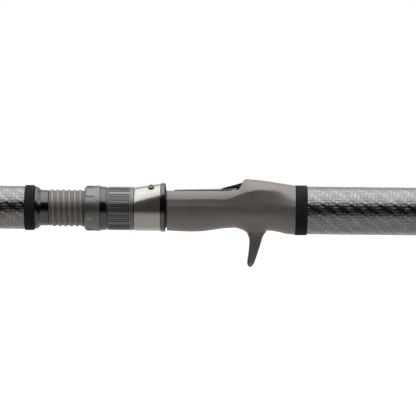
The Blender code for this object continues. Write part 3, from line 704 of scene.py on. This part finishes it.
body = fitted("reel_seat_surface", *seat_cage(), "seat", 3)
bore = cutter(revolve("seat_bore", [(-199.0, 0.0), (-199.0, 8.0), (-127.0, 8.0), (-127.0, 0.0)],
                      None, 64, closed=False))
pocket = box_cutter("bed_pocket", (-193.9, -162.9), (-7.4, 7.4), (8.95, 12.0))
hollow_outline = mouth(8.3, 9.9, 12.3, 6.0, 14.5, 15.2)
hollow = cutter(loft_object("rear_hollow", [[(x, y, z) for y, z in fillet(hollow_outline,
                [0, 1.2, 1.6, 1.6, 1.6, 1.6, 1.2, 0], 4)] for x in (-163.4, -148.5)], None))
settle(body, [bore, pocket, hollow])
place(body, "handle", "reel_seat_body", slot="seat_plastic")
place(barrel(), "handle", "reel_seat_body", slot="seat_plastic")

# ----------------------------------------------------------- foot bed, liner
SHADE_STEM_TOP = [(-193.7, 10.03), (-186.0, 10.12), (-170.0, 10.28), (-163.1, 10.33)]
PLATE_TOP = [(-193.2, 10.26), (-186.0, 10.52), (-176.0, 10.85), (-168.8, 11.1118), (-163.1, 10.98), (-160.5, 10.85)]


def along(points, x):
    return float(np.interp(x, [p[0] for p in points], [p[1] for p in points]))


def plank(name, tops, half, bottom, look, edge):
    rings = []
    for x, top in tops:
        low = bottom(x)
        e = min(edge, (top - low) * 0.45)
        rings.append([(x, y, z) for y, z in fillet(
            [(-half, low), (half, low), (half, top), (-half, top)], [0, 0, e, e], 3)])
    return loft_object(name, rings, look)


# Painted shade: the stem under the bed plate is near-black liner plastic, so the slit between plate and seat shows
# as a dark line.
gasket = plank("foot_bed_shade_stem_surface", SHADE_STEM_TOP, 7.25, lambda x: 9.05, "liner", 0.1)
place(gasket, "handle", "foot_bed_gasket", slot="liner_plastic")
plate_rings = []
for x, top in PLATE_TOP:
    low = along(SHADE_STEM_TOP, x) + 0.08
    edge = min(0.45, (top - low) * 0.9)
    plate_rings.append([(x, y, z) for y, z in fillet(
        [(-8.1, low), (8.1, low), (8.1, low + 0.06), (8.1 - edge, top), (edge - 8.1, top), (-8.1, low + 0.06)],
        [0, 0, 0.03, 0.2, 0.2, 0.03], 3)])
plate = loft_object("foot_bed_plate_surface", plate_rings, "plate")
place(plate, "handle", "foot_bed_plate", slot="seat_plastic")

arch = fillet(mouth(8.15, 10.05, 12.2, 5.9, 14.35, 15.05), [0, 1.2, 1.6, 1.6, 1.6, 1.6, 1.2, 0], 4)
inner = fillet(mouth(7.25, 9.0, 11.9, 5.5, 13.7, 14.35), [0, 1.0, 1.4, 1.4, 1.4, 1.4, 1.0, 0], 4)
liner = loft_object("rear_hood_liner_surface", [[(x, y, z) for y, z in arch] for x in (-169.0, -148.8)],
                    "liner")
settle(liner, [
    cutter(loft_object("liner_hollow", [[(x, y, z) for y, z in inner] for x in (-171.0, -149.6)], None)),
    cutter(loft_object("liner_ramp", [[(-169.6, y, 11.2), (-169.6, y, 17.0), (-156.8, y, 17.0),
                                       (-156.8, y, 14.55), (-168.6, y, 11.2)] for y in (-10.0, 10.0)], None)),
    box_cutter("liner_over_plate", (-171.0, -160.35), (-10.0, 10.0), (9.0, 11.16)),
    box_cutter("liner_nose", (-171.0, -168.4), (-10.0, 10.0), (9.0, 13.0))])
place(liner, "handle", "rear_hood_liner", slot="liner_plastic")


# --------------------------------------------------------- travelling hood
def hood_ring(x, inset, count=128):
    t = (x - HOOD_FRONT_X) / (HOOD_REAR_X - HOOD_FRONT_X)
    top = HOOD_TOP_FRONT + (HOOD_TOP_REAR - HOOD_TOP_FRONT) * min(1.0, t) - inset
    n = 2.0 + 0.8 * max(0.0, min(1.2, t))
    wide = HOOD_R - inset
    a = np.arange(count) / count * TAU
    c, s = np.cos(a), np.sin(a)
    up = s > 1e-9
    y = np.where(up, wide * np.sign(c) * np.abs(c) ** (2.0 / n), wide * c)
    z = np.where(up, top * np.abs(s) ** (2.0 / n), wide * s)
    return np.stack([np.full(count, x), y, z], 1)


def hood_shell():
    rows = []
    outer = [(HOOD_FRONT_X, 0.16), (HOOD_FRONT_X + 0.05, 0.06), (HOOD_FRONT_X + 0.18, 0.0)]
    outer += [(x, 0.0) for x in np.linspace(-213.5, -201.6, 13)]
    outer += [(HOOD_REAR_X - 0.15, 0.0), (HOOD_REAR_X - 0.04, 0.05), (HOOD_REAR_X, 0.14)]
    rows += [hood_ring(x, d) for x, d in outer]
    rows += [hood_ring(x, STEEL) for x in (HOOD_REAR_X, -207.8, HOOD_FRONT_X)]
    return grid_object("hood_shell_surface", np.array(rows), "steel")


def rivet_frame(side):
    x, y, z = RIVET
    out = Vector((-0.12, side * math.cos(RIVET_TILT), math.sin(RIVET_TILT))).normalized()
    seat = Vector((x, y * side, z))
    turn = out.to_track_quat("Z", "Y").to_matrix()
    return seat, out, turn


def rivet_hole(side):
    seat, out, turn = rivet_frame(side)
    ring = [Vector((1.05 * math.cos(a), 1.05 * math.sin(a), 0.0)) for a in np.linspace(0, TAU, 33)[:-1]]
    rings = [[tuple(seat + turn @ (p + Vector((0, 0, d)))) for p in ring] for d in (-2.0, 3.0)]
    return cutter(loft_object("rivet_hole", rings, None))


def rivet_piece(side, name):
    """Tubular rivet: a rolled rim round a shallow hollow."""
    seat, out, turn = rivet_frame(side)
    profile = [(0.0, 0.50), (0.5, 0.48), (0.72, 0.55), (0.88, 0.80), (1.08, 0.93), (1.34, 0.91),
               (1.56, 0.76), (1.68, 0.5), (1.66, 0.06), (0.86, 0.06), (0.86, -1.65), (0.0, -1.65)]
    seg = 48
    grid = []
    for r, h in profile:
        grid.append([tuple(seat + turn @ Vector((r * math.cos(a), r * math.sin(a), h)))
                     for a in np.arange(seg) / seg * TAU])
    obj = grid_object(name + "_surface", np.array(grid), "rivet", wrap_rows=False, angle=50.0)
    return place(obj, "hood", name, slot="rivet_steel")


shell = settle(hood_shell(), [rivet_hole(-1.0), rivet_hole(1.0)], 40.0)
place(shell, "hood", "hood_shell", slot="hood_steel")
rivet_piece(-1.0, "hood_rivet_near")
rivet_piece(1.0, "hood_rivet_far")


def hood_liner():
    """The rim outside the steel, its rear edge bowed toward the bed at the sides. That rear edge is near-black
    matte, painted shade for the gap to the seat shoulder.
    """
    outer = [(-214.9, 0.62, 0), (-207.8, 0.62, 0), (-200.72, 0.62, 0), (-200.7, 0.2, 0), (-200.69, -0.15, 0),
             (-200.6, -0.33, 0), (-200.4, -RIM_STEP, 0), (-200.0, -RIM_STEP, 0), (-199.2, -RIM_STEP, 0.1),
             (-198.75, -RIM_STEP + 0.04, 0.5), (-198.45, -0.28, 0.8), (-198.3, -0.1, 1), (-198.23, 0.2, 1),
             (-198.23, 0.9, 1)]
    rings = []
    for x, inset, bow in outer:
        ring = hood_ring(x, inset)
        level = (ring[:, 2] - 0.6) / 12.6
        ring[:, 0] += bow * 0.6 * np.clip(1.0 - level ** 2, 0.0, 1.0)
        rings.append([tuple(p) for p in ring])
    obj = loft_object("hood_liner_surface", rings, "black", 45.0)
    obj.data.materials.append(LOOK["liner"])
    bore_c = cutter(revolve("hood_bore", [(-219.0, 0.0), (-219.0, HOOD_BORE_R), (-196.0, HOOD_BORE_R),
                                         (-196.0, 0.0)], None, 96, closed=False))
    cavity = cutter(loft_object("foot_cavity", [
        [(x, -w, 8.0), (x, w, 8.0), (x, w, top - 0.5), (x, w - 0.8, top), (x, 0.8 - w, top), (x, -w, top - 0.5)]
        for x, w, top in ((-205.0, 6.6, 10.4), (-197.0, 7.4, 12.1))], None))
    settle(obj, [bore_c, cavity], 40.0)
    # Painted shade: faces on the rear edge take the near-black liner plastic, standing for the shadow in the gap
    # before the seat shoulder. Inward faces take it as the black liner.
    for face in obj.data.polygons:
        x, y, z = face.center / MM
        out = face.normal.y * y + face.normal.z * z
        face.material_index = 1 if (x > -198.75 or out < 0.0) else 0
    return obj


place(hood_liner(), "hood", "hood_liner", slot="gloss_black")
neck = revolve("hood_neck", fillet([
    (-216.8, 10.2), (-216.8, 10.7), (-216.65, 10.85), (-216.25, 10.85), (-216.1, 10.6),
    (-214.5, 10.6), (-214.5, 10.2)], 0.05, 2), "black", 96)
place(neck, "hood", "hood_liner", slot="gloss_black")


# -------------------------------------------------------------------- nuts
def wrapped_angle(a):
    return (a + math.pi) % TAU - math.pi


def knurl_change(x, theta, r):
    """Twelve groups of four grooves between plain bands."""
    deg = np.degrees(theta) - (180.0 - 1.5)
    local = (deg + 15.0) % 30.0 - 15.0
    depth = np.zeros_like(r)
    for k in range(4):
        d = np.abs(local - 5.8 * (k - 1.5))
        depth = np.maximum(depth, np.clip((1.62 - d) / 0.75, 0.0, 1.0))
    band = np.clip((x + 228.1) / 0.12, 0.0, 1.0) * np.clip((-217.05 - x) / 0.14, 0.0, 1.0)
    return np.where(r > 11.2, r - 0.36 * depth * band, r)


def dense_outline(outline, keep_r, step, grown=()):
    out = []
    for i, p in enumerate(outline):
        q = outline[(i + 1) % len(outline)]
        out.append(tuple(p))
        length = math.hypot(q[0] - p[0], q[1] - p[1])
        if p[1] > keep_r and q[1] > keep_r and length > step:
            n = int(length / step)
            out += [(p[0] + (q[0] - p[0]) * k / n, p[1] + (q[1] - p[1]) * k / n) for k in range(1, n)]
    return out


nut_outline = [
    (-228.44, 9.45), (-228.44, 11.2), (-228.3, 11.45), (-228.15, 11.5), (-228.1, 11.5), (-227.98, 11.5),
    (-217.2, 11.5), (-217.05, 11.5), (-216.4, 11.52), (-216.3, 11.42), (-216.15, 11.42), (-216.05, 11.52),
    (-215.3, 11.5), (-215.08, 11.4), (-215.0, 11.2), (-215.0, 10.75), (-215.8, 10.75), (-216.0, 11.0),
    (-217.0, 11.0), (-217.2, 10.3), (-218.8, 10.3), (-219.3, 9.45)]
nut_c = revolve("hood_nut_surface", dense_outline(nut_outline, 11.45, 1.2), "nut_c", 720, knurl_change,
                angle=30.0)
place(nut_c, "hood_nut", "hood_nut", slot="nut_plastic")


def flute_change(x, theta, r):
    """Eight shallow flutes with straight walls, open toward the tip."""
    deg = np.degrees(theta) - (180.0 - 23.9)
    local = np.abs((deg + 22.5) % 45.0 - 22.5)
    depth = np.clip((8.6 - local) / 0.9, 0.0, 1.0)
    band = np.clip((x + 240.35) / 0.25, 0.0, 1.0) * np.clip((-235.3 - x) / 1.0, 0.0, 1.0)
    floor_r = 11.97 - 0.46
    target = np.minimum(r, floor_r + 0.0 * r)
    return np.where(r > 10.9, r + (target - r) * depth * band, r)


jam_outline = [
    (-241.16, 9.45), (-241.16, 10.6), (-241.1, 10.8), (-240.95, 10.95), (-240.35, 11.55), (-240.1, 11.8),
    (-239.9, 11.92), (-239.6, 11.97), (-235.55, 11.97), (-235.3, 11.97), (-235.05, 11.98),
    (-234.85, 12.02), (-234.7, 12.08), (-234.5, 12.1), (-233.15, 12.1), (-232.97, 12.04), (-232.9, 11.9),
    (-232.9, 10.85), (-229.35, 10.85), (-229.35, 10.3), (-232.3, 10.3), (-233.15, 9.45)]
nut_a = revolve("jam_nut_surface", dense_outline(jam_outline, 11.5, 1.0), "nut", 720, flute_change,
                angle=30.0)
place(nut_a, "jam_nut", "jam_nut", slot="nut_plastic")

ring_b = revolve("jam_nut_trim_ring_surface", fillet([
    (-232.7, 11.0), (-232.7, 11.75), (-229.75, 11.5), (-229.25, 11.2), (-229.25, 11.0)],
    [0, 0.2, 0.3, 0.2, 0], 4), "collar", 128)
place(ring_b, "jam_nut", "jam_nut_trim_ring", slot="gloss_black")
washer = revolve("jam_washer_surface", fillet([
    (-229.1, 10.2), (-229.1, 11.2), (-228.62, 11.2), (-228.62, 10.2)], [0, 0.1, 0.1, 0], 2), "nut", 96)
place(washer, "jam_washer", "jam_washer", slot="nut_plastic")

# The pieces that stay as the frame has them get their looks only.
for name, look in (("fore_grip_core", "core"), ("rear_grip_core", "core"), ("butt_plug", "core"),
                   ("seat_arbor_front", "core"), ("seat_arbor_middle", "core"),
                   ("seat_arbor_rear", "core")):
    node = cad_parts[name]
    for s in node.material_slots:
        s.material = LOOK[look]


# ------------------------------------------------------- floor, light, camera
def studio():
    floor = bpy.data.meshes.new("studio_floor")
    floor.from_pydata([(-20.0, -20.0, FLOOR_Z), (20.0, -20.0, FLOOR_Z), (20.0, 20.0, FLOOR_Z),
                       (-20.0, 20.0, FLOOR_Z)], [], [(0, 1, 2, 3)])
    plane = bpy.data.objects.new("studio_floor", floor)
    SCENE.collection.objects.link(plane)
    s = Shade("studio_white", (0.9, 0.9, 0.9), 0.9, Specular_IOR_Level=0.0)
    s.set("Emission Color", (1.0, 1.0, 1.0, 1.0))
    s.set("Emission Strength", 0.8)
    floor.materials.append(s.mat)
    # Burnt out to white in the picture. The world below stands for its bounce.
    plane.visible_diffuse = False
    plane.visible_glossy = False
    plane.visible_transmission = False

    # One long softbox over the handle, from 40 degrees up in front to 55 behind.
    data = bpy.data.lights.new("softbox_over", "AREA")
    data.shape = "RECTANGLE"
    reach, lean, spread_deg = 0.55, 80.5, 89.0
    data.size = 3.4
    data.size_y = 2.0 * reach * math.tan(math.radians(spread_deg / 2.0))
    data.energy = SOFTBOX * data.size * data.size_y
    lamp = bpy.data.objects.new("softbox_over", data)
    a = math.radians(lean)
    lamp.location = (-0.1757, -reach * math.cos(a), reach * math.sin(a))
    way = Vector((0.0, reach * math.cos(a), -reach * math.sin(a)))
    lamp.rotation_euler = way.to_track_quat("-Z", "Y").to_euler()
    lamp.visible_camera = False
    SCENE.collection.objects.link(lamp)

    world = bpy.data.worlds.new("studio_world")
    SCENE.world = world
    world.use_nodes = True
    tree = world.node_tree
    back = tree.nodes["Background"]
    coords = tree.nodes.new("ShaderNodeTexCoord")
    split = tree.nodes.new("ShaderNodeSeparateXYZ")
    tree.links.new(coords.outputs["Generated"], split.inputs[0])
    half = tree.nodes.new("ShaderNodeMath")
    half.operation = "MULTIPLY_ADD"
    tree.links.new(split.outputs[2], half.inputs[0])
    half.inputs[1].default_value = 0.5
    half.inputs[2].default_value = 0.5
    ramp = tree.nodes.new("ShaderNodeValToRGB")
    tree.links.new(half.outputs[0], ramp.inputs[0])
    elements = ramp.color_ramp.elements
    while len(elements) < len(SKY):
        elements.new(0.5)
    for e, (pos, col) in zip(elements, SKY):
        e.position = pos
        e.color = (*col, 1.0)
    # The white wall behind the handle, which lights its upper and lower outlines.
    wall = tree.nodes.new("ShaderNodeMapRange")
    wall.interpolation_type = "SMOOTHSTEP"
    tree.links.new(split.outputs[1], wall.inputs[0])
    wall.inputs[1].default_value, wall.inputs[2].default_value = 0.25, 0.75
    behind = tree.nodes.new("ShaderNodeMix")
    behind.data_type = "RGBA"
    tree.links.new(wall.outputs[0], behind.inputs[0])
    tree.links.new(ramp.outputs[0], behind.inputs[6])
    behind.inputs[7].default_value = (*WALL, 1.0)
    seen = tree.nodes.new("ShaderNodeLightPath")
    mix = tree.nodes.new("ShaderNodeMix")
    mix.data_type = "RGBA"
    tree.links.new(seen.outputs["Is Camera Ray"], mix.inputs[0])
    tree.links.new(behind.outputs[2], mix.inputs[6])
    mix.inputs[7].default_value = (1.0, 1.0, 1.0, 1.0)
    tree.links.new(mix.outputs[2], back.inputs[0])
    back.inputs[1].default_value = 1.0


FLOOR_Z = -0.1
SOFTBOX = 2.75
WALL = (0.62, 0.62, 0.62)
# Place on the sky from straight down (0) to straight up (1), and its light.
SKY = [(0.0, (0.42, 0.40, 0.385)), (0.22, (0.38, 0.36, 0.345)), (0.31, (0.21, 0.20, 0.192)),
       (0.37, (0.02, 0.019, 0.019)), (0.5, (0.008, 0.008, 0.008)), (0.76, (0.015, 0.015, 0.015)),
       (0.86, (0.25, 0.25, 0.25)), (1.0, (0.6, 0.6, 0.6))]


def camera():
    distance, half_frame = 1.5, 0.11024 * 1.004
    data = bpy.data.cameras.new("camera")
    data.sensor_width = 36.0
    data.lens = 18.0 / (half_frame / distance)
    data.clip_start, data.clip_end = 0.1, 100.0
    obj = bpy.data.objects.new("camera", data)
    SCENE.collection.objects.link(obj)
    obj.location = (-0.17557, -distance, 0.00075)
    # The handle lies 0.6 degrees off level in the frame, butt end down.
    obj.rotation_euler = (Matrix.Rotation(math.radians(90.0), 3, "X")
                          @ Matrix.Rotation(math.radians(0.6), 3, "Z")).to_euler()
    SCENE.camera = obj


studio()
camera()
SCENE.view_settings.view_transform = "Standard"
SCENE.view_settings.look = "None"
